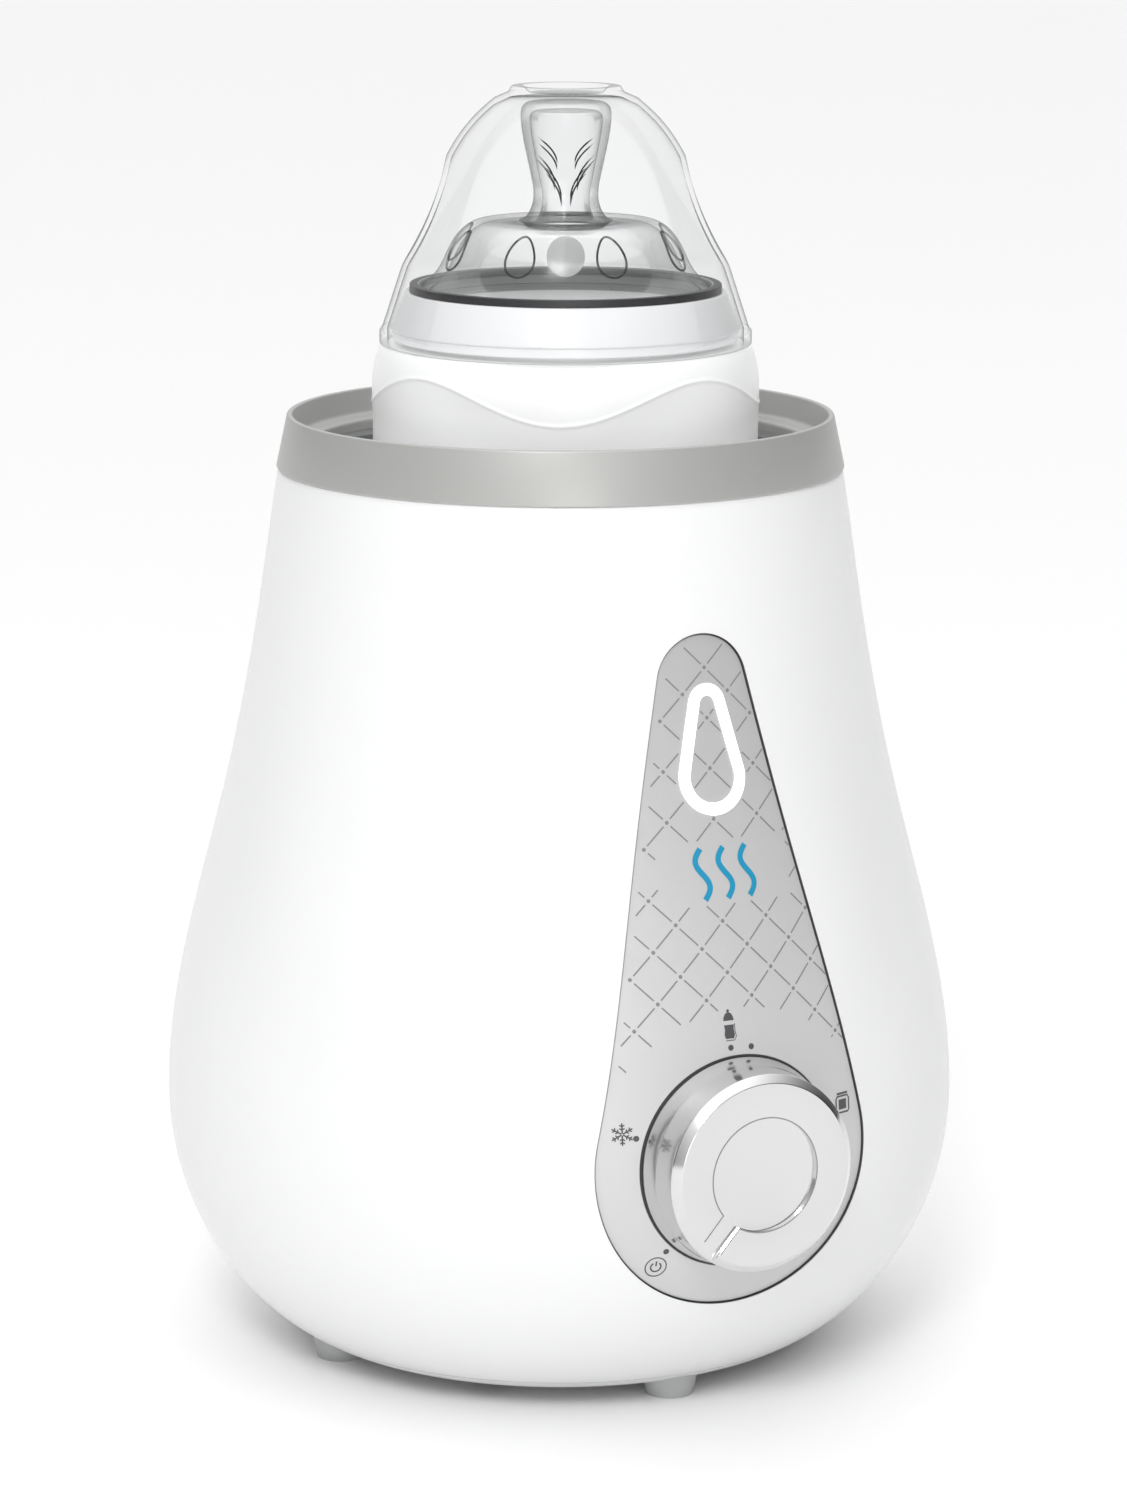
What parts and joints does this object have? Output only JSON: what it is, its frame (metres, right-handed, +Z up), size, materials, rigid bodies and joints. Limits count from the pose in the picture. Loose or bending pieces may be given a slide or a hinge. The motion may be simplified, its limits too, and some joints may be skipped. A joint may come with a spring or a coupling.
{
  "type": "bottle warmer",
  "caption": "Pear-shaped electric bottle warmer with a front dial, a drop-shaped control panel and a capped feeding bottle in its open water well.",
  "frame": {"origin": "on the table, under the middle of the housing", "axes": "+Z up; -Y towards the dial and its panel; +Y towards the cord gland"},
  "size_m": [0.1406, 0.1543, 0.2242],
  "materials": {
    "white_shell": "glossy moulded ABS",
    "white_base": "satin moulded ABS",
    "clear_rubber": "soft translucent thermoplastic rubber",
    "screw_steel": "zinc plated",
    "grey_ring": "satin warm grey paint",
    "seal_rubber": "silicone",
    "tank_metal": "drawn, satin",
    "frame_plastic": "heat-proof moulding",
    "heater_metal": "machined",
    "ptc_ceramic": "sintered",
    "clamp_steel": "pressed",
    "fuse_metal": "drawn case",
    "dark_plastic": "satin",
    "thermostat_ceramic": "steatite",
    "brass": "turned",
    "nut_steel": "nickel plated",
    "panel_silver": "silver satin paint with printed marks",
    "light_white": "opal light guide, lit",
    "board_green": "solder mask",
    "led_lens": "clear epoxy",
    "terminal_plastic": "polyamide",
    "gland_rubber": "flexible moulded sleeve",
    "gland_plastic": "polyamide",
    "wire_brown": "silicone insulation",
    "wire_white": "silicone insulation",
    "wire_blue": "silicone insulation",
    "knob_chrome": "polished silver plating",
    "bottle_plastic": "milky polypropylene",
    "teat_silicone": "clear silicone",
    "collar_white": "glossy polypropylene",
    "gasket_dark": "dark silicone band",
    "cap_clear": "clear hard plastic"
  },
  "bodies": {
    "housing": {"outer_shell": "white_shell", "base_plate": "white_base", "foot_front": "clear_rubber", "foot_right": "clear_rubber", "foot_rear": "clear_rubber", "foot_left": "clear_rubber", "base_screws": "screw_steel", "rim_ring": "grey_ring", "tank_seal": "seal_rubber", "water_tank": "tank_metal", "inner_frame": "frame_plastic", "heater_plate": "heater_metal", "ptc_heater": "ptc_ceramic", "heater_clamp": "clamp_steel", "heater_screws": "screw_steel", "thermal_fuse": "fuse_metal", "knob_well": "dark_plastic", "thermostat_body": "thermostat_ceramic", "thermostat_bushing": "brass", "thermostat_nut": "nut_steel", "thermostat_terminals": "brass", "control_panel": "panel_silver", "light_pipe": "light_white", "indicator_board": "board_green", "board_screws": "screw_steel", "indicator_leds": "led_lens", "terminal_block": "terminal_plastic", "cord_gland": "gland_rubber", "gland_nut": "gland_plastic", "wire_supply": "wire_brown", "wire_heater": "wire_white", "wire_return": "wire_blue"},
    "dial": {"knob": "knob_chrome", "thermostat_shaft": "brass"},
    "bottle": {"bottle_body": "bottle_plastic"},
    "nipple": {"teat": "teat_silicone"},
    "screw_collar": {"collar": "collar_white", "collar_gasket": "gasket_dark"},
    "cap": {"dome_cap": "cap_clear"}
  },
  "joints": [
    {"name": "knob_turn", "type": "hinge", "parent": "housing", "child": "dial", "pos_m": [0, -0.07, 0.0483], "axis": [0, 1, 0], "range_deg": [0, 202]},
    {"name": "bottle_lift", "type": "slide", "parent": "housing", "child": "bottle", "axis": [0, 0, 1], "range_m": [0, 0.13]},
    {"name": "collar_rise", "type": "slide", "parent": "bottle", "child": "nipple", "axis": [0, 0, 1], "range_m": [0, 0.006]},
    {"name": "collar_turn", "type": "hinge", "parent": "nipple", "child": "screw_collar", "pos_m": [0.00076, -0.00038, 0.185], "axis": [0, 0, 1], "range_deg": [0, 540]},
    {"name": "cap_lift", "type": "slide", "parent": "screw_collar", "child": "cap", "axis": [0, 0, 1], "range_m": [0, 0.05]}
  ],
  "couplings": [
    {"joint": "collar_rise", "follows": "collar_turn", "m_per_rad": 0.00063662}
  ]
}
